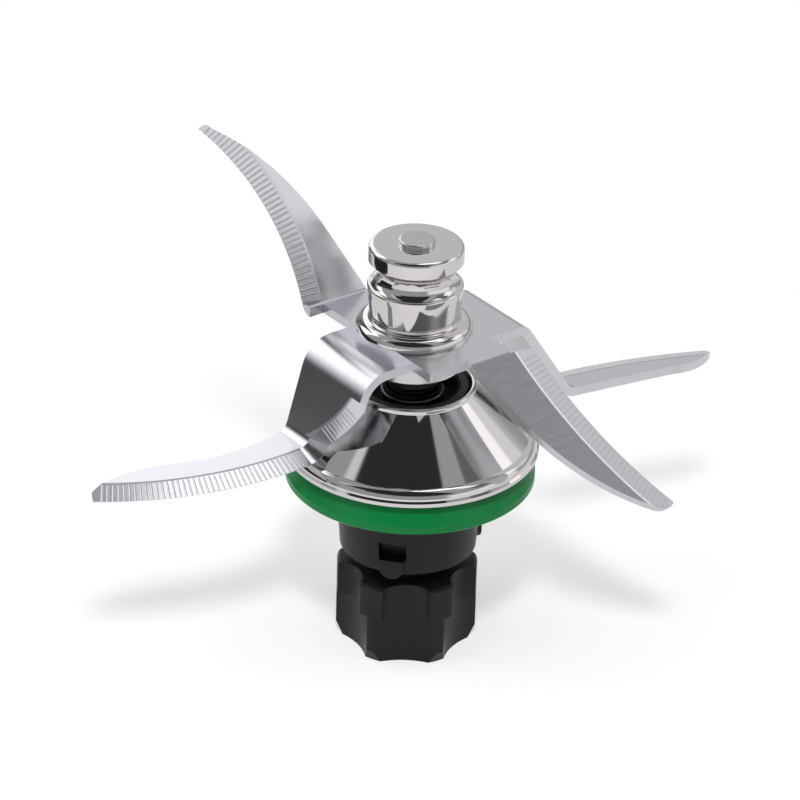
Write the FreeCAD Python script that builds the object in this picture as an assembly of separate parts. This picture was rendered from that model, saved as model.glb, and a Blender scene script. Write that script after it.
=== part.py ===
import FreeCAD, Part
import math
import os
from FreeCAD import Placement, Rotation, Vector

# Kitchen blender mixing knife: four sheet blades on a spindle that runs in two ball
# bearings inside a moulded housing, driven from below by a six tooth coupling.
# Millimetres. The origin is the middle of the coupling's flat foot, +Z runs up the
# spindle and +X along the lower blade. Seen from above the knife cuts counter-clockwise.

# Clearances
seat_gap = 0.02          # radial, between pieces that are pressed or clamped together
running_gap = 0.05       # radial, between turning and standing pieces that run on each other
bore_gap = 0.05          # radial, keyed spindle in the blades and the collar
over = 1.0               # how far a cut starts outside what it cuts

# Spindle and its keyed section, a round bar with two flats
spindle_radius = 4.0
spindle_bottom = 3.0
journal_radius = 5.0
flange_radius = 6.5
flange_thickness = 3.0
key_radius = 5.0
key_across_flats = 8.0
tail_radius = 3.75
tail_stand = 1.1
tail_chamfer = 0.35
tail_round = 0.45

# Drive coupling, a star of six teeth in two tiers
tooth_count = 6
tooth_direction = -37.5
coupling_radius = 14.85
coupling_height = 18.5
coupling_edge = 0.5
lower_tier_height = 11.0
lower_flute_root = 11.6
lower_flute_half_angle = 27.0
upper_flute_root = 11.6
upper_flute_half_angle = 19.5
foot_chamfer_radial = 1.4
foot_chamfer_height = 2.8
coupling_neck_radius = 8.5
coupling_neck_height = 2.5
coupling_nose_radius = 5.8

# Brass insert that the coupling is moulded round
insert_across_flats = 12.0
insert_height = 12.0

# Two ball bearings of one size
bearing_width = 7.0
bearing_radius = 11.0
inner_race_radius = 6.05
outer_race_bore = 9.5
ball_radius = 1.984
ball_pitch_radius = 7.5
ball_count = 7
cage_inner_radius = 7.0
cage_outer_radius = 8.0
cage_width = 5.2
lower_bearing_bottom = 24.5
bearing_spacing = 16.0
spacer_wall = 1.3

# Bearing housing, one black moulding
barrel_bottom = 22.3
barrel_bottom_radius = 14.4
barrel_top_radius = 15.5
barrel_top = 37.2
barrel_edge = 0.6
plug_radius = 22.6
shelf_margin = 1.0
shelf_bottom = 37.9
shelf_thickness = 1.5
seal_stop_bore = 9.4
seal_stop_thickness = 1.7
housing_neck_radius = 11.6
housing_neck_land = 0.5
housing_top = 60.4

# Circlip and spring washer under the lower bearing
circlip_thickness = 1.0
circlip_depth = 0.9
circlip_radial_width = 2.3
circlip_opening = 36.0
spring_washer_thickness = 0.3
spring_washer_width = 1.1

# Lug and pocket, three times round the barrel
lug_count = 3
lug_direction = 219.9
lug_width = 5.3
lug_bottom = 22.0
lug_top = 26.2
lug_stand = 1.1
lug_root = 1.0
pocket_width = 5.9
pocket_height = 3.7
pocket_depth = 2.0

# Green seal ring, which hooks over the shelf's edge
ring_wall = 3.6
ring_hook = 0.3
ring_lip_height = 2.3
ring_crown_inset = 1.8
ring_slope_height = 3.5
ring_edge = 0.4

# Cone cover, spun from sheet with a rolled top rim and a hemmed foot
cone_gauge = 1.2
cone_top = 61.2
cone_rim_radius = 13.4
cone_opening_radius = 12.3
cone_rim_height = 1.1
cone_overhang = 0.6      # how far the foot stands out past the seal ring
cone_shoulder_inset = 2.1
cone_shoulder_rise = 3.2
cone_foot = 46.0
cone_foot_edge = 0.4
cone_knee = 0.3
cone_hem_gap = 0.4

# Shaft seal in the neck of the housing
seal_radius = 10.0
seal_height = 4.0
seal_case_gauge = 0.6
seal_case_bore = 7.0
seal_lip_width = 1.2
seal_lip_chamfer = 0.5
seal_floor = 1.0
garter_radius = 0.5

# Blades and the collar under them
blade_gauge = 2.0
strip_half_width = 10.0
collar_rise = 4.0        # how far the collar's foot stands above the cone's rim
collar_height = 4.7
collar_radius = 10.2
collar_edge = 0.4
edge_land = 0.15
bevel_knee = 0.25        # half width of the narrow facet where a bevel meets the flat
groove_pitch = 1.15
groove_radius = 0.5
groove_depth = 0.05
groove_lead = 0.1        # share of the bevel's width that a groove starts outside the edge
groove_reach = 0.92      # share of the bevel's width that a groove crosses
groove_margin = 1.5      # pitches left plain at each end of an edge

# Lower blade: both arms drop past the cone and run out almost level
lower_droop = 1.5
lower_foot_radius = 2.5
lower_edge_root = 1.8
slope_bevel = 3.4
slope_notch_inset = 0.5
slope_edge_bow = 0.6

# Steep arm of the lower blade, towards -X
steep_bend_start = 14.0
steep_bend_radius = 5.3
steep_angle = 74.0
steep_slope = 13.0
steep_notch = 3.0
steep_heel = -10.2
steep_bevel = 4.0
steep_edge_middle = (22.0, -0.9)
steep_edge_tip = (44.2, -12.2)
steep_back_first = ((13.0, -9.3), (24.0, -12.3))
steep_back_second = ((35.0, -14.8), (43.3, -14.0))

# Shallow arm of the lower blade, towards +X
shallow_bend_start = 19.9
shallow_bend_radius = 1.5
shallow_angle = 54.7
shallow_slope = 21.3
shallow_notch = 10.0
shallow_heel = -8.6
shallow_bevel = 5.2
shallow_edge_middle = (18.0, -1.1)
shallow_edge_tip = (37.0, -7.2)
shallow_back_first = ((12.0, -10.2), (24.0, -11.9))
shallow_back_second = ((31.0, -12.4), (36.2, -9.9))

# Upper blade: a strip with one sickle arm raised and one lowered
strip_end = 18.6
crease_radius = 0.8

# Raised arm, towards +Y
raised_angle = -70.0
raised_heel = -1.3
raised_edge_root = (0.5, 13.5)
raised_edge_middle = (18.1, 16.4)
raised_edge_tip = (42.0, 30.1)
raised_back_knee = (14.9, 5.6)
raised_back_middle = (29.1, 14.6)
raised_back_tip = (41.6, 27.7)
raised_nose = (42.5, 29.2)
raised_bevel = 3.5

# Lowered arm, towards -Y
lowered_angle = 43.0
lowered_heel = -0.1
lowered_edge_root = (1.2, 16.7)
lowered_edge_middle = (20.0, 21.6)
lowered_edge_tip = (41.4, 31.9)
lowered_back_knee = (12.7, 4.5)
lowered_back_middle = (26.0, 11.2)
lowered_back_tip = (41.2, 25.9)
lowered_nose = (42.3, 29.6)
lowered_bevel = 5.4

# Hub, one polished turning
hub_foot_radius = 12.1
hub_foot_rim = 0.6
hub_foot_thickness = 2.2
hub_foot_bulge = 0.45
hub_groove_height = 1.3
hub_groove_run = 0.5
hub_groove_undercut = 0.2
hub_barrel_foot_radius = 9.4
hub_shoulder_radius = 9.95
hub_shoulder_height = 10.1
hub_shoulder_round = 0.5
hub_shoulder_land = 0.2
hub_neck_radius = 8.0
hub_neck_rise = 0.4
hub_cap_radius = 9.85
hub_cap_thickness = 3.9
hub_cap_lower_edge = 0.4
hub_cap_upper_round = 1.0
hub_height = 18.9

# Radii and heights that follow from the sizes above
shelf_radius = plug_radius + shelf_margin
ring_radius = plug_radius + ring_wall
ring_crown_radius = ring_radius - ring_crown_inset
cone_foot_radius = ring_radius + cone_overhang
cone_shoulder_radius = cone_foot_radius - cone_shoulder_inset
cone_hem_radius = plug_radius + cone_hem_gap
collar_bottom = cone_top + collar_rise
lower_blade_bottom = collar_bottom + collar_height
upper_blade_bottom = lower_blade_bottom + blade_gauge
hub_bottom = upper_blade_bottom + blade_gauge
hub_top = hub_bottom + hub_height
upper_bearing_bottom = lower_bearing_bottom + bearing_width + bearing_spacing
upper_bearing_top = upper_bearing_bottom + bearing_width
seal_bottom = upper_bearing_top + seal_stop_thickness
spring_washer_bottom = lower_bearing_bottom - spring_washer_thickness
circlip_bottom = spring_washer_bottom - circlip_thickness
housing_bore = bearing_radius + seat_gap
shelf_top = shelf_bottom + shelf_thickness
axis_up = Vector(0, 0, 1)
origin = Vector(0, 0, 0)
far = 200.0


def polar(radius, degrees):
    angle = math.radians(degrees)
    return radius * math.cos(angle), radius * math.sin(angle)


def loop(place, start, steps):
    """Closed wire from start; a step of two points is an arc through the first."""
    edges = []
    here = start
    for step in steps:
        there = step[-1]
        if len(step) == 2:
            curve = Part.Arc(place(*here), place(*step[0]), place(*there))
        else:
            curve = Part.LineSegment(place(*here), place(*there))
        edges.append(curve.toShape())
        here = there
    return Part.Wire(edges)


def corner_round(corner, radius):
    """Step round an outer upper corner: the arc's middle and its end on the top face."""
    slack = radius * (1 - math.sqrt(0.5))
    return (corner[0] - slack, corner[1] - slack), (corner[0] - radius, corner[1])


def in_section(radius, height):
    return Vector(radius, 0, height)


def on_sheet(along, across):
    return Vector(along, across, 0)


def turned(start, steps):
    """Solid of revolution about the spindle from a half section."""
    face = Part.Face(loop(in_section, start, steps))
    return face.revolve(origin, axis_up, 360)


def turned_ring(inner, outer, bottom, top):
    corners = [((outer, bottom),), ((outer, top),), ((inner, top),), ((inner, bottom),)]
    return turned((inner, bottom), corners)


def rod(radius, bottom, top):
    return Part.makeCylinder(radius, top - bottom, Vector(0, 0, bottom))


def around(shape, count, first):
    """Copies of a shape at equal angles round the spindle."""
    copies = []
    for index in range(count):
        copy = shape.copy()
        copy.rotate(origin, axis_up, first + index * 360.0 / count)
        copies.append(copy)
    return copies


def keyed_bar(gap, bottom, top):
    """Round bar with two flats that carries the collar and the blades."""
    bar = rod(key_radius + gap, bottom, top)
    width = key_across_flats + 2 * gap
    flats = Part.makeBox(far, width, top - bottom, Vector(-far / 2, -width / 2, bottom))
    return bar.common(flats)


def circle_through(first, second, third):
    """Centre and radius of the circle through three points of a sheet."""
    arc = Part.Arc(on_sheet(*first), on_sheet(*second), on_sheet(*third))
    circle = arc.toShape().Curve
    return circle.Center, circle.Radius


# Spindle: bearing seat, seal journal, flange, keyed section and riveted tail.
def make_spindle():
    tail_end = hub_top + tail_stand
    bar = turned(
        (0, spindle_bottom),
        [
            ((spindle_radius - tail_chamfer, spindle_bottom),),
            ((spindle_radius, spindle_bottom + tail_chamfer),),
            ((spindle_radius, upper_bearing_top),),
            ((journal_radius, upper_bearing_top),),
            ((journal_radius, collar_bottom - flange_thickness),),
            ((flange_radius, collar_bottom - flange_thickness),),
            ((flange_radius, collar_bottom),),
            ((0, collar_bottom),),
            ((0, spindle_bottom),),
        ],
    )
    tail = turned(
        (0, hub_bottom),
        [
            ((tail_radius, hub_bottom),),
            ((tail_radius, tail_end - tail_round),),
            corner_round((tail_radius, tail_end), tail_round),
            ((0, tail_end),),
            ((0, hub_bottom),),
        ],
    )
    return bar.fuse([keyed_bar(0, collar_bottom, hub_bottom), tail]).removeSplitter()


# Coupling: a turned star blank, fluted in two tiers.
def flute(root, half_angle, bottom, top):
    """Cylinder that cuts one concave flute between two teeth."""
    chord = coupling_radius * math.sin(math.radians(half_angle))
    depth = coupling_radius * math.cos(math.radians(half_angle)) - root
    radius = (chord * chord + depth * depth) / (2 * depth)
    return Part.makeCylinder(radius, top - bottom, Vector(root + radius, 0, bottom))


def insert_blank(gap, bottom, top):
    corner = (insert_across_flats / 2 + gap) / math.cos(math.pi / 6)
    corners = [polar(corner, 60 * index) for index in range(7)]
    hexagon = Part.makePolygon([Vector(x, y, bottom) for x, y in corners])
    return Part.Face(hexagon).extrude(Vector(0, 0, top - bottom))


def make_drive_coupling():
    neck_top = coupling_height + coupling_neck_height
    blank = turned(
        (0, 0),
        [
            ((coupling_radius - foot_chamfer_radial, 0),),
            ((coupling_radius, foot_chamfer_height),),
            ((coupling_radius, coupling_height - coupling_edge),),
            ((coupling_radius - coupling_edge, coupling_height),),
            ((coupling_neck_radius, coupling_height),),
            ((coupling_neck_radius, neck_top),),
            ((coupling_nose_radius, neck_top),),
            ((coupling_nose_radius, lower_bearing_bottom),),
            ((0, lower_bearing_bottom),),
            ((0, 0),),
        ],
    )
    between = tooth_direction + 180.0 / tooth_count
    low = flute(lower_flute_root, lower_flute_half_angle, -over, lower_tier_height)
    high = flute(upper_flute_root, upper_flute_half_angle, lower_tier_height, coupling_height + over)
    cuts = around(low, tooth_count, between) + around(high, tooth_count, between)
    cuts.append(insert_blank(seat_gap, spindle_bottom, spindle_bottom + insert_height))
    cuts.append(rod(spindle_radius + seat_gap, -over, lower_bearing_bottom + over))
    return blank.cut(cuts)


def make_coupling_insert():
    blank = insert_blank(0, spindle_bottom, spindle_bottom + insert_height)
    return blank.cut(rod(spindle_radius + seat_gap, 0, spindle_bottom + insert_height + over))


# Bearings: grooved races, a set of balls and a pocketed cage.
def raceway(middle):
    groove = ball_radius + running_gap
    return Part.makeTorus(ball_pitch_radius, groove, Vector(0, 0, middle))


def make_inner_race(bottom):
    ring = turned_ring(spindle_radius + seat_gap, inner_race_radius, bottom, bottom + bearing_width)
    return ring.cut(raceway(bottom + bearing_width / 2))


def make_outer_race(bottom):
    ring = turned_ring(outer_race_bore, bearing_radius, bottom, bottom + bearing_width)
    return ring.cut(raceway(bottom + bearing_width / 2))


def make_balls(bottom):
    ball = Part.makeSphere(ball_radius, Vector(ball_pitch_radius, 0, bottom + bearing_width / 2))
    return Part.makeCompound(around(ball, ball_count, 0))


def make_cage(bottom):
    middle = bottom + bearing_width / 2
    half = cage_width / 2
    ring = turned_ring(cage_inner_radius, cage_outer_radius, middle - half, middle + half)
    pocket = Part.makeCylinder(ball_radius + running_gap, far, Vector(0, 0, middle), Vector(1, 0, 0))
    return ring.cut(around(pocket, ball_count, 0))


def make_outer_spacer():
    bottom = lower_bearing_bottom + bearing_width
    return turned_ring(bearing_radius - spacer_wall, bearing_radius, bottom, upper_bearing_bottom)


def make_inner_spacer():
    bottom = lower_bearing_bottom + bearing_width
    bore = spindle_radius + seat_gap
    return turned_ring(bore, bore + spacer_wall, bottom, upper_bearing_bottom)


# Circlip: an open ring sprung into the groove of the barrel.
def make_circlip():
    outer = housing_bore + circlip_depth - seat_gap
    ring = turned_ring(outer - circlip_radial_width, outer, circlip_bottom, spring_washer_bottom)
    x, y = polar(far, circlip_opening / 2)
    mouth = Part.makePolygon([origin, Vector(x, -y, 0), Vector(x, y, 0), origin])
    opening = Part.Face(mouth).extrude(Vector(0, 0, far))
    return ring.cut(opening)


def make_spring_washer():
    outer = housing_bore - seat_gap
    return turned_ring(outer - spring_washer_width, outer, spring_washer_bottom, lower_bearing_bottom)


# Cone cover: the slanted wall is offset inwards by the sheet's gauge.
def cone_line():
    """Ends of the slanted wall outside, and the step to the wall inside."""
    top = (cone_rim_radius, cone_top - cone_rim_height)
    foot = (cone_shoulder_radius, cone_foot + cone_shoulder_rise)
    run = foot[0] - top[0]
    fall = top[1] - foot[1]
    length = math.hypot(run, fall)
    inward = (-fall / length, -run / length)
    return top, foot, inward


def shifted(point, direction, distance):
    return point[0] + direction[0] * distance, point[1] + direction[1] * distance


def make_cone_cover():
    top, foot, inward = cone_line()
    inner_top = shifted(top, inward, cone_gauge)
    inner_foot = shifted(foot, inward, cone_gauge)
    hem_top = cone_foot + cone_gauge
    bead = (cone_rim_radius - cone_opening_radius) / 2
    bead_middle = (cone_rim_radius + cone_opening_radius) / 2
    lip = (cone_foot_radius - cone_foot_edge, hem_top)
    knee = ((foot[0] + lip[0]) / 2 + cone_knee, (foot[1] + lip[1]) / 2 + cone_knee)
    return turned(
        (cone_opening_radius, cone_top - bead),
        [
            ((bead_middle, cone_top), (cone_rim_radius, cone_top - bead)),
            (top,),
            (foot,),
            (knee, lip),
            ((cone_foot_radius, hem_top - cone_foot_edge),),
            ((cone_foot_radius, cone_foot),),
            ((cone_hem_radius, cone_foot),),
            ((cone_hem_radius, hem_top),),
            ((inner_foot[0], hem_top),),
            (inner_foot,),
            (inner_top,),
            ((cone_opening_radius, inner_top[1]),),
            ((cone_opening_radius, cone_top - bead),),
        ],
    )


# Seal ring: sits on the shelf of the housing under the cone's hem.
def make_seal_ring():
    inner = plug_radius + running_gap
    hook = shelf_radius + running_gap
    bottom = shelf_top - ring_hook
    lip_top = bottom + ring_lip_height
    return turned(
        (inner, shelf_top),
        [
            ((hook, shelf_top),),
            ((hook, bottom),),
            ((ring_radius - ring_edge, bottom),),
            ((ring_radius, bottom + ring_edge),),
            ((ring_radius, lip_top - ring_edge),),
            ((ring_radius - ring_edge / 2, lip_top),),
            ((ring_crown_radius, lip_top + ring_slope_height),),
            ((ring_crown_radius, cone_foot),),
            ((inner, cone_foot),),
            ((inner, shelf_top),),
        ],
    )


# Bearing housing: barrel with lugs and pockets, shelf, and a plug inside the cone.
def housing_blank():
    top, foot, inward = cone_line()
    gap = cone_gauge + running_gap
    plug_top = shifted(top, inward, gap)
    plug_foot = shifted(foot, inward, gap)
    slope = (plug_top[1] - plug_foot[1]) / (plug_foot[0] - plug_top[0])
    neck_foot = plug_top[1] - (housing_neck_radius - plug_top[0]) * slope
    plug_edge = plug_foot[1] + (plug_foot[0] - plug_radius) * slope
    groove = housing_bore + circlip_depth
    return turned(
        (housing_bore, barrel_bottom),
        [
            ((housing_bore, circlip_bottom - seat_gap),),
            ((groove, circlip_bottom - seat_gap),),
            ((groove, spring_washer_bottom),),
            ((housing_bore, spring_washer_bottom),),
            ((housing_bore, upper_bearing_top),),
            ((seal_stop_bore, upper_bearing_top),),
            ((seal_stop_bore, seal_bottom),),
            ((seal_radius + seat_gap, seal_bottom),),
            ((seal_radius + seat_gap, housing_top),),
            ((housing_neck_radius, housing_top),),
            ((housing_neck_radius, min(neck_foot, housing_top - housing_neck_land)),),
            ((plug_radius, plug_edge),),
            ((plug_radius, shelf_top),),
            ((shelf_radius, shelf_top),),
            ((shelf_radius, shelf_bottom),),
            ((barrel_top_radius, barrel_top),),
            ((barrel_bottom_radius, barrel_bottom + barrel_edge),),
            ((barrel_bottom_radius - barrel_edge, barrel_bottom),),
            ((housing_bore, barrel_bottom),),
        ],
    )


def lug():
    """Tab with a half-round foot, standing proud of the barrel under its pocket."""
    half = lug_width / 2
    inner = housing_bore + lug_root
    reach = barrel_bottom_radius + lug_stand
    start = Vector(inner, -half, lug_top)
    low_left = Vector(inner, -half, lug_bottom + half)
    low_right = Vector(inner, half, lug_bottom + half)
    edges = [
        Part.LineSegment(start, low_left).toShape(),
        Part.Arc(low_left, Vector(inner, 0, lug_bottom), low_right).toShape(),
        Part.LineSegment(low_right, Vector(inner, half, lug_top)).toShape(),
        Part.LineSegment(Vector(inner, half, lug_top), start).toShape(),
    ]
    return Part.Face(Part.Wire(edges)).extrude(Vector(reach - inner, 0, 0))


def pocket():
    """Blind window in the barrel wall above a lug."""
    depth_start = barrel_bottom_radius - pocket_depth
    return Part.makeBox(far, pocket_width, pocket_height, Vector(depth_start, -pocket_width / 2, lug_top))


def make_bearing_housing():
    body = housing_blank().fuse(around(lug(), lug_count, lug_direction))
    return body.cut(around(pocket(), lug_count, lug_direction)).removeSplitter()


# Shaft seal: pressed steel case, rubber lip on the journal, garter spring.
def make_seal_case():
    inner = seal_radius - seal_case_gauge
    top = seal_bottom + seal_height
    return turned(
        (seal_case_bore, seal_bottom),
        [
            ((seal_radius, seal_bottom),),
            ((seal_radius, top),),
            ((inner, top),),
            ((inner, seal_bottom + seal_case_gauge),),
            ((seal_case_bore, seal_bottom + seal_case_gauge),),
            ((seal_case_bore, seal_bottom),),
        ],
    )


def make_seal_lip():
    edge = journal_radius + running_gap
    body = edge + seal_lip_width
    floor = seal_bottom + seal_case_gauge
    top = seal_bottom + seal_height
    spring_height = top - 2 * garter_radius
    blank = turned(
        (edge, (floor + top) / 2),
        [
            ((edge + seal_lip_chamfer, floor),),
            ((seal_radius - seal_case_gauge, floor),),
            ((seal_radius - seal_case_gauge, floor + seal_floor),),
            ((body, floor + seal_floor),),
            ((body, top),),
            ((edge + seal_lip_chamfer, top),),
            ((edge, (floor + top) / 2),),
        ],
    )
    groove = Part.makeTorus(body, garter_radius + seat_gap, Vector(0, 0, spring_height))
    return blank.cut(groove)


def make_garter_spring():
    spring_height = seal_bottom + seal_height - 2 * garter_radius
    ring_middle = journal_radius + running_gap + seal_lip_width
    return Part.makeTorus(ring_middle, garter_radius, Vector(0, 0, spring_height))


# Collar: the plain round step that carries the blades.
def make_blade_collar():
    top = lower_blade_bottom
    blank = turned(
        (0, collar_bottom),
        [
            ((collar_radius - collar_edge, collar_bottom),),
            ((collar_radius, collar_bottom + collar_edge),),
            ((collar_radius, top),),
            ((0, top),),
            ((0, collar_bottom),),
        ],
    )
    return blank.cut(keyed_bar(bore_gap, collar_bottom - over, top + over))


# Sheet work. An arm is built outwards from a cursor: its X runs along the arm, its Y
# to the leading side and its Z out of the top face, which the sheet hangs under.
def start_cursor(direction, reach, top):
    turn = Rotation(axis_up, direction)
    return Placement(turn.multVec(Vector(reach, 0, top)), turn)


def forward(cursor, distance):
    return cursor.multiply(Placement(Vector(distance, 0, 0), Rotation()))


def placed(shape, cursor):
    copy = shape.copy()
    copy.Placement = cursor.multiply(copy.Placement)
    return copy


def bend(cursor, heel, edge, bevel_width, inside_radius, angle):
    """Bent stretch of sheet with the blade's cross section; a positive angle turns down."""
    if angle > 0:
        centre = Vector(0, 0, -blade_gauge - inside_radius)
    else:
        centre = Vector(0, 0, inside_radius)
    corners = [
        Vector(0, heel, -blade_gauge),
        Vector(0, edge, -blade_gauge),
        Vector(0, edge, edge_land - blade_gauge if bevel_width else 0),
        Vector(0, edge - bevel_width, 0),
        Vector(0, heel, 0),
    ]
    if not bevel_width:
        corners.pop(3)
    section = Part.Face(Part.makePolygon(corners + corners[:1]))
    solid = section.revolve(centre, Vector(0, 1 if angle > 0 else -1, 0), abs(angle))
    turn = Placement(origin, Rotation(Vector(0, 1, 0), angle), centre)
    return placed(solid, cursor), cursor.multiply(turn)


def flat_sheet(start, steps):
    face = Part.Face(loop(on_sheet, start, steps))
    return face.extrude(Vector(0, 0, -blade_gauge))


def ground(sheet, root, middle, tip, width):
    """Grind a bevel on the top face along an arc edge, with cross grooves over it."""
    centre, radius = circle_through(root, middle, tip)
    side = -1 if centre.y > middle[1] else 1
    low = edge_land - blade_gauge
    outside = radius + side * strip_half_width
    inside = radius - side * width
    knee = Vector(inside + side * bevel_knee, 0, low * bevel_knee / width)
    rim = inside - side * bevel_knee
    section = [Vector(outside, 0, low), Vector(radius, 0, low), knee, Vector(rim, 0, 0)]
    section += [Vector(rim, 0, over), Vector(outside, 0, over), Vector(outside, 0, low)]
    grinder = Part.Face(Part.makePolygon(section)).revolve(origin, axis_up, 360)
    grinder.translate(centre)
    bevelled = sheet.cut(grinder)
    run = Vector(-side * width, 0, -low)
    lift = Vector(-low, 0, side * width).normalize() * (groove_radius - groove_depth)
    if lift.z < 0:
        lift = lift * -1
    start = Vector(radius, 0, low) + lift - run * groove_lead
    groove = Part.makeCylinder(groove_radius, run.Length * (groove_lead + groove_reach), start, run)
    first = math.degrees(math.atan2(root[1] - centre.y, root[0] - centre.x))
    last = math.degrees(math.atan2(tip[1] - centre.y, tip[0] - centre.x))
    sweep = (last - first + 180.0) % 360.0 - 180.0
    spaces = int(abs(math.radians(sweep)) * radius / groove_pitch)
    count = int(spaces - 2 * groove_margin)
    grooves = []
    for index in range(count + 1):
        copy = groove.copy()
        copy.rotate(origin, axis_up, first + sweep * (index + groove_margin) / (count + 2 * groove_margin))
        copy.translate(centre)
        grooves.append(copy)
    return bevelled.cut(grooves)


def slope_sheet(length, notch, heel, foot_edge):
    """Dropping stretch of the lower blade; its leading edge is ground below a notch."""
    width = strip_half_width
    notch_edge = width - slope_notch_inset
    middle = ((notch + length) / 2, (notch_edge + foot_edge) / 2 + slope_edge_bow)
    sheet = flat_sheet(
        (0, -width),
        [
            ((length, heel),),
            ((length, foot_edge),),
            (middle, (notch, notch_edge)),
            ((notch, width),),
            ((0, width),),
            ((0, -width),),
        ],
    )
    return ground(sheet, (length, foot_edge), middle, (notch, notch_edge), slope_bevel)


def half_strip(direction, length, top):
    """Flat strip from the spindle to the first bend of an arm."""
    width = strip_half_width
    sheet = flat_sheet((0, -width), [((length, -width),), ((length, width),), ((0, width),), ((0, -width),)])
    return placed(sheet, start_cursor(direction, 0, top))


def lower_arm(direction, bend_start, bend_radius, angle, slope, notch, heel, bevel, edge, tip, back):
    """Drop bend, slope, foot bend and level cutting arm of the lower blade."""
    width = strip_half_width
    strip = half_strip(direction, bend_start, upper_blade_bottom)
    cursor = start_cursor(direction, bend_start, upper_blade_bottom)
    drop, cursor = bend(cursor, -width, width, 0, bend_radius, angle)
    slope_piece = placed(slope_sheet(slope, notch, heel, lower_edge_root), cursor)
    cursor = forward(cursor, slope)
    foot, cursor = bend(cursor, heel, lower_edge_root, bevel, lower_foot_radius, lower_droop - angle)
    root = (0, lower_edge_root)
    (heel_bow, heel_end), (nose_bow, nose) = back
    outline = flat_sheet(root, [(edge, tip), (nose,), (nose_bow, heel_end), (heel_bow, (0, heel)), (root,)])
    arm = placed(ground(outline, root, edge, tip, bevel), cursor)
    return [strip, drop, slope_piece, foot, arm]


def keyed_blade(pieces, bottom):
    """Join the stretches of a blade and cut the keyed hole for the spindle."""
    blade = pieces[0].fuse(pieces[1:])
    return blade.cut(keyed_bar(bore_gap, bottom - over, bottom + blade_gauge + over)).removeSplitter()


def make_lower_blade():
    pieces = lower_arm(
        180, steep_bend_start, steep_bend_radius, steep_angle, steep_slope, steep_notch,
        steep_heel, steep_bevel, steep_edge_middle, steep_edge_tip, (steep_back_first, steep_back_second),
    )
    pieces += lower_arm(
        0, shallow_bend_start, shallow_bend_radius, shallow_angle, shallow_slope, shallow_notch,
        shallow_heel, shallow_bevel, shallow_edge_middle, shallow_edge_tip,
        (shallow_back_first, shallow_back_second),
    )
    return keyed_blade(pieces, lower_blade_bottom)


def upper_arm(direction, angle, heel, edge_points, back_steps, nose, bevel_width):
    """Sharp crease and sickle arm of the upper blade, rooted on the leading half.

    The arm's outline is measured from the line where the two top faces would meet,
    and the strip's trailing half ends level on that line.
    """
    edge_root, edge_middle, edge_tip = edge_points
    face_radius = crease_radius if angle < 0 else crease_radius + blade_gauge
    setback = face_radius * math.tan(math.radians(abs(angle)) / 2)
    strip = half_strip(direction, strip_end - setback, hub_bottom)
    cursor = start_cursor(direction, strip_end - setback, hub_bottom)
    step_at_crease = edge_root[0] <= setback
    width = edge_root[1] if step_at_crease else strip_half_width
    corners = [(setback, -strip_half_width), (setback, heel), (0, heel), (0, -strip_half_width)]
    trailing = placed(flat_sheet(corners[-1], [(corner,) for corner in corners]), cursor)
    crease, cursor = bend(cursor, heel, width, 0, crease_radius, angle)
    cursor = forward(cursor, -setback)
    edge_root = (max(edge_root[0], setback), edge_root[1])
    steps = back_steps + [(nose, edge_tip), (edge_middle, edge_root)]
    if not step_at_crease:
        steps += [((edge_root[0], width),), ((setback, width),)]
    outline = flat_sheet((setback, heel), steps + [((setback, heel),)])
    arm = placed(ground(outline, edge_root, edge_middle, edge_tip, bevel_width), cursor)
    return [strip, trailing, crease, arm]


def make_upper_blade():
    pieces = upper_arm(
        90, raised_angle, raised_heel, (raised_edge_root, raised_edge_middle, raised_edge_tip),
        [(raised_back_knee,), (raised_back_middle, raised_back_tip)], raised_nose, raised_bevel,
    )
    pieces += upper_arm(
        -90, lowered_angle, lowered_heel, (lowered_edge_root, lowered_edge_middle, lowered_edge_tip),
        [(lowered_back_knee,), (lowered_back_middle, lowered_back_tip)], lowered_nose, lowered_bevel,
    )
    return keyed_blade(pieces, upper_blade_bottom)


# Hub: domed foot flange, slightly tapered barrel, hollow neck and cap disc.
def make_hub():
    bore = tail_radius + seat_gap
    foot_rim = hub_bottom + hub_foot_rim
    foot_top = hub_bottom + hub_foot_thickness
    barrel_foot = foot_top + hub_groove_height
    shoulder = hub_bottom + hub_shoulder_height
    cap_bottom = hub_top - hub_cap_thickness
    groove_start = (hub_barrel_foot_radius + hub_groove_run, foot_top)
    groove_middle = (hub_barrel_foot_radius - hub_groove_undercut, (foot_top + barrel_foot) / 2)
    dome_middle = shifted(
        ((hub_foot_radius + groove_start[0]) / 2, (foot_rim + foot_top) / 2), polar(1, 45), hub_foot_bulge
    )
    round_middle, round_end = corner_round((hub_shoulder_radius, shoulder), hub_shoulder_round)
    neck_middle = (hub_neck_radius, (shoulder + cap_bottom) / 2 + hub_neck_rise)
    return turned(
        (bore, hub_bottom),
        [
            ((hub_foot_radius, hub_bottom),),
            ((hub_foot_radius, foot_rim),),
            (dome_middle, groove_start),
            (groove_middle, (hub_barrel_foot_radius, barrel_foot)),
            ((hub_shoulder_radius, shoulder - hub_shoulder_round),),
            (round_middle, round_end),
            ((round_end[0] - hub_shoulder_land, shoulder),),
            (neck_middle, (hub_cap_radius - hub_cap_lower_edge, cap_bottom)),
            ((hub_cap_radius, cap_bottom + hub_cap_lower_edge),),
            ((hub_cap_radius, hub_top - hub_cap_upper_round),),
            corner_round((hub_cap_radius, hub_top), hub_cap_upper_round),
            ((bore, hub_top),),
            ((bore, hub_bottom),),
        ],
    )


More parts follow.
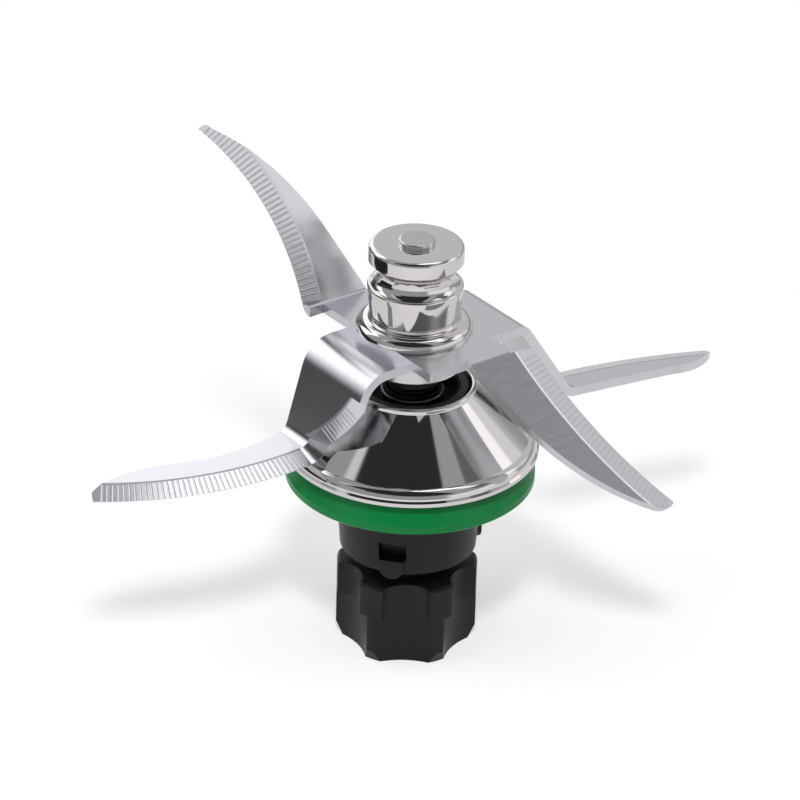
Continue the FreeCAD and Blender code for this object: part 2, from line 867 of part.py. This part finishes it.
pieces = {
    "drive_coupling": make_drive_coupling(),
    "coupling_insert": make_coupling_insert(),
    "spindle": make_spindle(),
    "circlip": make_circlip(),
    "spring_washer": make_spring_washer(),
    "lower_inner_race": make_inner_race(lower_bearing_bottom),
    "lower_outer_race": make_outer_race(lower_bearing_bottom),
    "lower_balls": make_balls(lower_bearing_bottom),
    "lower_cage": make_cage(lower_bearing_bottom),
    "inner_spacer": make_inner_spacer(),
    "outer_spacer": make_outer_spacer(),
    "upper_inner_race": make_inner_race(upper_bearing_bottom),
    "upper_outer_race": make_outer_race(upper_bearing_bottom),
    "upper_balls": make_balls(upper_bearing_bottom),
    "upper_cage": make_cage(upper_bearing_bottom),
    "bearing_housing": make_bearing_housing(),
    "seal_ring": make_seal_ring(),
    "cone_cover": make_cone_cover(),
    "shaft_seal_case": make_seal_case(),
    "shaft_seal_lip": make_seal_lip(),
    "garter_spring": make_garter_spring(),
    "blade_collar": make_blade_collar(),
    "lower_blade": make_lower_blade(),
    "upper_blade": make_upper_blade(),
    "hub": make_hub(),
}

os.makedirs("parts", exist_ok=True)
for name, shape in pieces.items():
    print(name, shape.isValid(), len(shape.Solids), round(shape.Volume, 1))
    shape.exportStep("parts/" + name + ".step")
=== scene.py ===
import math

import bpy
from mathutils import Matrix, Vector


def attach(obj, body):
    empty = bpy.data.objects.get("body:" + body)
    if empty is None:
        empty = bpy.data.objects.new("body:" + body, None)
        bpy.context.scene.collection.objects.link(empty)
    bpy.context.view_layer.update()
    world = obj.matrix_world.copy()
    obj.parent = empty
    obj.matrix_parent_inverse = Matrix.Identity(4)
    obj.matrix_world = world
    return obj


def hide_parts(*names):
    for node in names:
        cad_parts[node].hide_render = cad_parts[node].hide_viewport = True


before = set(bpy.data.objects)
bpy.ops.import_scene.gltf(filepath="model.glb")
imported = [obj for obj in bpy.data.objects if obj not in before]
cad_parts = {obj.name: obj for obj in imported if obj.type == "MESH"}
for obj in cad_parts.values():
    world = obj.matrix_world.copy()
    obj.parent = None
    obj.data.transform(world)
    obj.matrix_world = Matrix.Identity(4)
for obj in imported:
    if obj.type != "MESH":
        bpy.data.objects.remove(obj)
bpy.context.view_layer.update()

# Drive coupling: a black six-toothed star that takes the turn of the drive. It is moulded in
# glass-filled nylon round a brass insert, which holds it on the foot of the spindle.


def linear(colour):
    """An sRGB hex colour, as seen on the real piece, as the linear colour a shader takes."""
    channels = [int(colour[place:place + 2], 16) / 255 for place in (1, 3, 5)]
    return [c / 12.92 if c <= 0.04045 else ((c + 0.055) / 1.055) ** 2.4 for c in channels] + [1.0]


def add_node(tree, kind, settings, links=()):
    """Adds a node, sets its inputs or properties by name, and links sockets to its inputs."""
    node = tree.nodes.new(kind)
    for name, value in settings.items():
        if name in node.inputs.keys():
            node.inputs[name].default_value = value
        else:
            setattr(node, name, value)
    for name, socket in links:
        tree.links.new(socket, node.inputs[name])
    return node


def start_material(name, **sockets):
    """A material with its shader's plain values set; returns material, tree, shader and place."""
    material = bpy.data.materials.new(name)
    material.use_nodes = True
    tree = material.node_tree
    shader = tree.nodes["Principled BSDF"]
    for socket, value in sockets.items():
        shader.inputs[socket.replace("_", " ")].default_value = value
    place = add_node(tree, "ShaderNodeTexCoord", {}).outputs["Object"]
    return material, tree, shader, place


def dress(node, material):
    """Gives a CAD node its one material."""
    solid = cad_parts[node]
    solid.data.materials.clear()
    solid.data.materials.append(material)


def moulded_nylon():
    # Semi-gloss black nylon; the mould's fine spark texture breaks up its highlights.
    grain = 0.00025
    material, tree, shader, place = start_material(
        "moulded_black_nylon", IOR=1.53, Roughness=0.36, Specular_IOR_Level=0.24
    )
    speckle = add_node(
        tree, "ShaderNodeTexNoise", {"Scale": 1 / grain, "Detail": 2.0}, [("Vector", place)]
    )
    cloud = add_node(tree, "ShaderNodeTexNoise", {"Scale": 160.0, "Detail": 3.0}, [("Vector", place)])
    tone = add_node(tree, "ShaderNodeValToRGB", {}, [("Fac", cloud.outputs["Fac"])])
    tone.color_ramp.elements[0].color = linear("#0D0D10")
    tone.color_ramp.elements[1].color = linear("#151418")
    gloss = add_node(
        tree, "ShaderNodeMapRange", {"To Min": 0.3, "To Max": 0.42}, [("Value", cloud.outputs["Fac"])]
    )
    bump = add_node(
        tree, "ShaderNodeBump", {"Strength": 0.12, "Distance": 0.00004},
        [("Height", speckle.outputs["Fac"])],
    )
    tree.links.new(tone.outputs["Color"], shader.inputs["Base Color"])
    tree.links.new(gloss.outputs["Result"], shader.inputs["Roughness"])
    tree.links.new(bump.outputs["Normal"], shader.inputs["Normal"])
    return material


nylon = moulded_nylon()
dress("drive_coupling", nylon)


def plain_metal(name, colour, roughness, streak):
    """Machined metal: fine turned streaks round the spindle's axis vary its gloss."""
    material, tree, shader, place = start_material(
        name, Metallic=1.0, Base_Color=linear(colour), Roughness=roughness
    )
    squeeze = add_node(
        tree, "ShaderNodeMapping", {"Scale": (60.0, 60.0, 1 / streak)}, [("Vector", place)]
    )
    lines = add_node(
        tree, "ShaderNodeTexNoise", {"Scale": 1.0, "Detail": 2.0}, [("Vector", squeeze.outputs[0])]
    )
    gloss = add_node(
        tree, "ShaderNodeMapRange", {"To Min": roughness * 0.8, "To Max": roughness * 1.25},
        [("Value", lines.outputs["Fac"])],
    )
    tree.links.new(gloss.outputs["Result"], shader.inputs["Roughness"])
    return material


# Coupling insert: a turned brass bush in the middle of the star.
# The nylon is moulded round it, and the spindle's foot screws into it.
dress("coupling_insert", plain_metal("turned_brass", "#D9B25F", 0.28, 0.0003))

# Spindle: a ground stainless bar that runs from the coupling up through bearings and blades.
# Its upper end is riveted over and closes the hub.
dress("spindle", plain_metal("ground_stainless_bar", "#C9C9CC", 0.16, 0.0003))

# Two ball bearings with their spacers, circlip and spring washer: hardened and ground steel
# races and balls, and pressed cages. They are pushed into the housing and are out of sight.
ground_steel = plain_metal("ground_bearing_steel", "#BFC0C4", 0.18, 0.0002)
pressed_steel = plain_metal("pressed_cage_steel", "#A5A6AA", 0.32, 0.0005)
spring_steel = plain_metal("blued_spring_steel", "#5A5C66", 0.3, 0.0004)
for level in ("lower", "upper"):
    dress(level + "_inner_race", ground_steel)
    dress(level + "_outer_race", ground_steel)
    dress(level + "_balls", ground_steel)
    dress(level + "_cage", pressed_steel)
dress("inner_spacer", pressed_steel)
dress("outer_spacer", pressed_steel)
dress("circlip", spring_steel)
dress("spring_washer", spring_steel)

# Bearing housing: the barrel with lugs, pockets and shelf that carries all that stands still.
# It is one black nylon moulding with the coupling's finish.
dress("bearing_housing", nylon)


# Seal ring: the green ring that seals the knife in the jug's floor. It is a silicone moulding,
# a little translucent, and sits on the housing's shelf under the cone.
def green_silicone():
    # Smooth moulded rubber: a dull sheen at the edges and light that sinks in a little.
    material, tree, shader, place = start_material(
        "green_silicone", IOR=1.41, Roughness=0.3, Specular_IOR_Level=0.3,
        Subsurface_Weight=0.15, Subsurface_Scale=0.002,
    )
    shader.inputs["Subsurface Radius"].default_value = (0.3, 1.0, 0.4)
    cloud = add_node(tree, "ShaderNodeTexNoise", {"Scale": 120.0, "Detail": 3.0}, [("Vector", place)])
    tone = add_node(tree, "ShaderNodeValToRGB", {}, [("Fac", cloud.outputs["Fac"])])
    tone.color_ramp.elements[0].color = linear("#00622C")
    tone.color_ramp.elements[1].color = linear("#006D34")
    skin = add_node(tree, "ShaderNodeTexNoise", {"Scale": 3000.0, "Detail": 2.0}, [("Vector", place)])
    bump = add_node(
        tree, "ShaderNodeBump", {"Strength": 0.08, "Distance": 0.00003}, [("Height", skin.outputs["Fac"])]
    )
    tree.links.new(tone.outputs["Color"], shader.inputs["Base Color"])
    tree.links.new(bump.outputs["Normal"], shader.inputs["Normal"])
    return material


dress("seal_ring", green_silicone())


# Cone cover: the bright cone over the housing. It is stainless sheet, spun to shape with a
# rolled rim and a hemmed foot, and mirror polished on the lathe.
def polished_stainless():
    # Polishing leaves rings too fine to see, which only soften the mirror a little.
    return plain_metal("mirror_polished_stainless", "#DAD7D6", 0.06, 0.00025)


def polished_turning(node, body, material):
    """Spins a turned CAD node's own half section afresh, finely enough for a mirror finish."""
    steps = 192
    bpy.ops.object.select_all(action="DESELECT")
    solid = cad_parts[node]
    solid.select_set(True)
    bpy.context.view_layer.objects.active = solid
    bpy.ops.object.duplicate()
    turning = bpy.context.object
    turning.name = node + "_polished"
    bpy.ops.mesh.customdata_custom_splitnormals_clear()
    bpy.ops.object.mode_set(mode="EDIT")
    bpy.ops.mesh.select_all(action="SELECT")
    bpy.ops.mesh.remove_doubles(threshold=1e-7)
    bpy.ops.mesh.select_all(action="DESELECT")
    bpy.ops.object.mode_set(mode="OBJECT")
    for vertex in turning.data.vertices:
        vertex.select = abs(vertex.co.y) > 1e-7 or vertex.co.x < 0
    bpy.ops.object.mode_set(mode="EDIT")
    bpy.ops.mesh.delete(type="VERT")
    bpy.ops.mesh.select_all(action="SELECT")
    bpy.ops.mesh.spin(steps=steps, angle=2 * math.pi, center=(0, 0, 0), axis=(0, 0, 1))
    bpy.ops.mesh.select_all(action="SELECT")
    bpy.ops.mesh.remove_doubles(threshold=1e-6)
    bpy.ops.mesh.normals_make_consistent(inside=False)
    bpy.ops.object.mode_set(mode="OBJECT")
    bpy.ops.object.shade_smooth_by_angle(angle=math.radians(22))
    turning.data.materials.clear()
    turning.data.materials.append(material)
    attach(turning, body)
    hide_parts(node)
    return turning


mirror = polished_stainless()
dress("cone_cover", mirror)
polished_turning("cone_cover", "housing", mirror)

# Shaft seal: a pressed steel case under black nitrile rubber, a lip on the spindle, and a
# garter spring round the lip. It is pressed into the neck of the housing.
rubber, rubber_tree, rubber_shader, rubber_place = start_material(
    "black_nitrile_rubber", Roughness=0.7, Base_Color=linear("#0F0F10"), Specular_IOR_Level=0.15
)
rubber_skin = add_node(rubber_tree, "ShaderNodeTexNoise", {"Scale": 2500.0}, [("Vector", rubber_place)])
rubber_bump = add_node(
    rubber_tree, "ShaderNodeBump", {"Strength": 0.2, "Distance": 0.00004},
    [("Height", rubber_skin.outputs["Fac"])],
)
rubber_tree.links.new(rubber_bump.outputs["Normal"], rubber_shader.inputs["Normal"])
dress("shaft_seal_case", rubber)
dress("shaft_seal_lip", rubber)
dress("garter_spring", spring_steel)

# Blade collar: the light grey round step under the blades. It is turned from stainless bar
# and clamped between the spindle's flange and the lower blade.
dress("blade_collar", plain_metal("fine_turned_stainless", "#D2D1D2", 0.22, 0.0002))


# Blades: two strips with four sickle arms, stamped and bent from stainless sheet, with ground
# and serrated bevels. They are satin all over and clamped crosswise under the hub.
def satin_stainless():
    # A fine brushed grain, drawn coarser than the real one, spreads the mirror image softly.
    material, tree, shader, place = start_material(
        "satin_stainless_sheet", Metallic=1.0, Base_Color=linear("#D8D8DE"), Roughness=0.22
    )
    brush = add_node(tree, "ShaderNodeMapping", {"Scale": (250.0, 2500.0, 250.0)}, [("Vector", place)])
    grain = add_node(
        tree, "ShaderNodeTexNoise", {"Scale": 1.0, "Detail": 3.0}, [("Vector", brush.outputs[0])]
    )
    gloss = add_node(
        tree, "ShaderNodeMapRange", {"To Min": 0.19, "To Max": 0.28}, [("Value", grain.outputs["Fac"])]
    )
    bump = add_node(
        tree, "ShaderNodeBump", {"Strength": 0.1, "Distance": 0.00002}, [("Height", grain.outputs["Fac"])]
    )
    tree.links.new(gloss.outputs["Result"], shader.inputs["Roughness"])
    tree.links.new(bump.outputs["Normal"], shader.inputs["Normal"])
    return material


satin = satin_stainless()
dress("lower_blade", satin)
dress("upper_blade", satin)

# Hub: the flange, barrel, neck and cap that clamp the blades. It is one stainless turning,
# polished like the cone.
dress("hub", mirror)
polished_turning("hub", "rotor", mirror)

# Studio: a pale table that runs out to white, one soft lamp in front, a low soft box at the
# left, and round them the panels and cards that the polished and satin metal mirrors.
view_turn = math.radians(-37.5)
view_rise = math.radians(28.7)
view_roll = math.radians(1.65)
view_distance = 0.9
view_aim = Vector((-0.00198, 0.00152, 0.0563))
lens = 195.0


def bearing(turn, rise):
    """Direction seen from the knife; turn is counted in degrees from the camera to its right."""
    flat = view_turn + math.radians(turn)
    level = math.radians(rise)
    return Vector((math.sin(flat) * math.cos(level), -math.cos(flat) * math.cos(level), math.sin(level)))


def stand_card(name, place, aim, width, height, level):
    """Flat card at a place, turned to face its aim; only the metal sees it."""
    bpy.ops.object.select_all(action="DESELECT")
    facing = (aim - place).to_track_quat("Z", "Y").to_euler()
    bpy.ops.mesh.primitive_plane_add(size=1.0, location=place, rotation=facing, scale=(width, height, 1))
    card = bpy.context.object
    card.name = name
    card.scale = (width, height, 1)
    bpy.ops.object.transform_apply(location=True, rotation=True, scale=True)
    material, tree, shader, origin = start_material(name, Roughness=1.0, Base_Color=(0, 0, 0, 1))
    glow = add_node(tree, "ShaderNodeEmission", {"Strength": level})
    tree.links.new(glow.outputs["Emission"], tree.nodes["Material Output"].inputs["Surface"])
    card.data.materials.append(material)
    card.visible_camera = False
    card.visible_diffuse = False
    card.visible_shadow = False


def soft_lamp(name, turn, rise, reach, size, power):
    """Square soft box for the table's light and shadows; the metal mirrors the panels instead."""
    lamp = bpy.data.objects.new(name, bpy.data.lights.new(name, "AREA"))
    bpy.context.scene.collection.objects.link(lamp)
    lamp.data.size = size
    lamp.data.energy = power
    out = bearing(turn, rise)
    lamp.location = Vector((0, 0, 0.04)) + out * reach
    lamp.rotation_mode = "QUATERNION"
    lamp.rotation_quaternion = out.to_track_quat("Z", "Y")
    lamp.visible_glossy = False


bpy.ops.object.select_all(action="DESELECT")
bpy.ops.mesh.primitive_plane_add(size=4.0)
table = bpy.context.object
table.name = "table"
table_white = (0.86, 0.86, 0.86, 1)
sweep_white = (0.5, 0.5, 0.5, 1)
seen_glow = 0.43
mirrored_glow = 0.2
fade_start = 0.13
fade_end = 0.22
table_material, tree, shader, place = start_material(
    "white_table", Roughness=0.9, Base_Color=table_white, Specular_IOR_Level=0.0
)
path = add_node(tree, "ShaderNodeLightPath", {})
distance = add_node(tree, "ShaderNodeVectorMath", {"operation": "LENGTH"}, [("Vector", place)])
# The sweep glows a little, more to the eye than in the metal, so its shadows stay pale.
sweep = add_node(tree, "ShaderNodeBsdfDiffuse", {"Color": sweep_white})
glow = add_node(tree, "ShaderNodeEmission", {"Strength": seen_glow})
lit = add_node(tree, "ShaderNodeAddShader", {})
tree.links.new(sweep.outputs["BSDF"], lit.inputs[0])
tree.links.new(glow.outputs["Emission"], lit.inputs[1])
dim = add_node(tree, "ShaderNodeEmission", {"Strength": mirrored_glow})
dull = add_node(tree, "ShaderNodeAddShader", {})
tree.links.new(sweep.outputs["BSDF"], dull.inputs[0])
tree.links.new(dim.outputs["Emission"], dull.inputs[1])
mirrored = add_node(tree, "ShaderNodeMixShader", {}, [("Fac", path.outputs["Is Glossy Ray"])])
tree.links.new(shader.outputs["BSDF"], mirrored.inputs[1])
tree.links.new(dull.outputs["Shader"], mirrored.inputs[2])
seen = add_node(tree, "ShaderNodeMixShader", {}, [("Fac", path.outputs["Is Camera Ray"])])
tree.links.new(mirrored.outputs["Shader"], seen.inputs[1])
tree.links.new(lit.outputs["Shader"], seen.inputs[2])
# Past the shadows the sweep runs out to the white of the backdrop.
fade = add_node(
    tree, "ShaderNodeMapRange", {"From Min": fade_start, "From Max": fade_end},
    [("Value", distance.outputs["Value"])],
)
far_seen = add_node(tree, "ShaderNodeMath", {"operation": "MULTIPLY"})
tree.links.new(fade.outputs["Result"], far_seen.inputs[0])
tree.links.new(path.outputs["Is Camera Ray"], far_seen.inputs[1])
white = add_node(tree, "ShaderNodeEmission", {"Strength": 1.0})
blend = add_node(tree, "ShaderNodeMixShader", {}, [("Fac", far_seen.outputs["Value"])])
tree.links.new(seen.outputs["Shader"], blend.inputs[1])
tree.links.new(white.outputs["Emission"], blend.inputs[2])
tree.links.new(blend.outputs["Shader"], tree.nodes["Material Output"].inputs["Surface"])
table.data.materials.append(table_material)

stand_card(
    "black_card", bearing(-92, 0) * 0.12 + Vector((0, 0, 0.055)), Vector((0, 0, 0.055)), 0.105, 0.052, 0.02
)
stand_card(
    "bright_card", bearing(180, 0) * 0.16 + bearing(-90, 0) * 0.078 + Vector((0, 0, 0.15)),
    Vector((-0.03, 0, 0.05)), 0.11, 0.1, 1.36,
)
stand_card(
    "dark_mat", bearing(52, 0) * 0.155 + Vector((0, 0, 0.001)), bearing(52, 0) * 0.155 + Vector((0, 0, 1)),
    0.14, 0.05, 0.24,
)
soft_lamp("front_lamp", 0.0, 52.0, 0.9, 0.12, 5.6)

world = bpy.data.worlds.new("studio")
bpy.context.scene.world = world
world.use_nodes = True
tree = world.node_tree
fill_front = 0.12
fill_sides = 1.1
fill_left = 3.2
room_level = 0.38
panels = (
    # turn, half width, rise, half height, soft edge (degrees) and brightness
    (180.0, 75.0, 34.0, 20.0, 6.0, 0.66),
    (0.0, 44.0, 72.0, 36.0, 2.0, 0.03),
    (-52.0, 16.0, 62.0, 20.0, 3.0, 0.03),
    (-74.0, 5.0, 50.0, 8.0, 2.0, 0.75),
    (-128.0, 24.0, 33.0, 19.0, 3.0, 1.65),
    (-99.0, 34.0, -3.0, 14.0, 3.0, 0.03),
    (57.0, 11.5, 55.0, 14.0, 2.0, 0.4),
    (81.0, 12.0, 42.0, 10.0, 3.0, 0.17),
    (90.0, 21.0, 47.0, 6.0, 2.0, 0.15),
    (104.5, 13.0, 33.0, 9.0, 2.0, 1.3),
    (94.0, 14.0, 61.0, 7.0, 3.0, 1.2),
    (122.0, 6.5, 19.0, 9.0, 2.0, 0.85),
    (139.0, 30.0, 74.0, 12.0, 4.0, 2.1),
    (70.0, 36.0, 6.0, 18.0, 4.0, 0.95),
    (-158.0, 14.0, 2.0, 13.0, 3.0, 1.3),
)
path = add_node(tree, "ShaderNodeLightPath", {})
heading = add_node(tree, "ShaderNodeTexCoord", {}).outputs["Generated"]
squared = add_node(
    tree, "ShaderNodeVectorRotate", {"rotation_type": "Z_AXIS", "Angle": -view_turn}, [("Vector", heading)]
)
axes = add_node(tree, "ShaderNodeSeparateXYZ", {}, [("Vector", squared.outputs["Vector"])]).outputs


def sums(operation, *values):
    """One step of arithmetic on sockets and plain numbers."""
    node = tree.nodes.new("ShaderNodeMath")
    node.operation = operation
    for place, value in enumerate(values):
        if isinstance(value, (int, float)):
            node.inputs[place].default_value = value
        else:
            tree.links.new(value, node.inputs[place])
    return node.outputs["Value"]


def near(angle, half, soft):
    """1 where an angle is inside plus or minus half, and softly 0 outside."""
    node = add_node(
        tree, "ShaderNodeMapRange",
        {
            "interpolation_type": "SMOOTHSTEP", "From Min": math.radians(half - soft),
            "From Max": math.radians(half + soft), "To Min": 1.0, "To Max": 0.0,
        },
        [("Value", sums("ABSOLUTE", angle))],
    )
    return node.outputs["Result"]


turn_angle = sums("ARCTAN2", axes["X"], sums("MULTIPLY", axes["Y"], -1.0))
rise_angle = sums("ARCSINE", axes["Z"])
level = sums("MULTIPLY", room_level, 1.0)
for turn, half_turn, rise, half_rise, soft, brightness in panels:
    turn_off = sums("WRAP", sums("SUBTRACT", turn_angle, math.radians(turn)), math.pi, -math.pi)
    rise_off = sums("SUBTRACT", rise_angle, math.radians(rise))
    inside = sums("MULTIPLY", near(turn_off, half_turn, soft), near(rise_off, half_rise, soft))
    panel = add_node(
        tree, "ShaderNodeMapRange", {"To Max": brightness}, [("Value", inside), ("To Min", level)]
    )
    level = panel.outputs["Result"]
beside = near(sums("SUBTRACT", sums("ABSOLUTE", turn_angle), math.pi / 2), 50.0, 25.0)
fill = add_node(
    tree, "ShaderNodeMapRange", {"To Min": fill_front, "To Max": fill_sides}, [("Value", beside)]
)
# The stronger soft box stands low at the left, and lightens that side of ring, barrel and star.
left_box = sums(
    "MULTIPLY", near(sums("ADD", turn_angle, math.radians(82.0)), 32.0, 14.0),
    near(sums("SUBTRACT", rise_angle, math.radians(12.0)), 18.0, 8.0),
)
left = add_node(
    tree, "ShaderNodeMapRange", {"To Max": fill_left},
    [("Value", left_box), ("To Min", fill.outputs["Result"])],
)
mirrored = add_node(
    tree, "ShaderNodeMapRange", {},
    [("Value", path.outputs["Is Glossy Ray"]), ("To Min", left.outputs["Result"]), ("To Max", level)],
)
strength = add_node(
    tree, "ShaderNodeMapRange", {"To Max": 1.0},
    [("Value", path.outputs["Is Camera Ray"]), ("To Min", mirrored.outputs["Result"])],
)
backdrop = tree.nodes["Background"]
backdrop.inputs["Color"].default_value = (1, 1, 1, 1)
tree.links.new(strength.outputs["Result"], backdrop.inputs["Strength"])

camera = bpy.data.objects.new("camera", bpy.data.cameras.new("camera"))
bpy.context.scene.collection.objects.link(camera)
camera.data.lens = lens
camera.data.sensor_width = 36.0
camera.data.clip_end = 20.0
back = bearing(0, math.degrees(view_rise))
aim = (-back).to_track_quat("-Z", "Y").to_matrix().to_4x4()
camera.matrix_world = (
    Matrix.Translation(view_aim + back * view_distance) @ aim @ Matrix.Rotation(view_roll, 4, "Z")
)
bpy.context.scene.camera = camera

bpy.context.scene.view_settings.view_transform = "Standard"
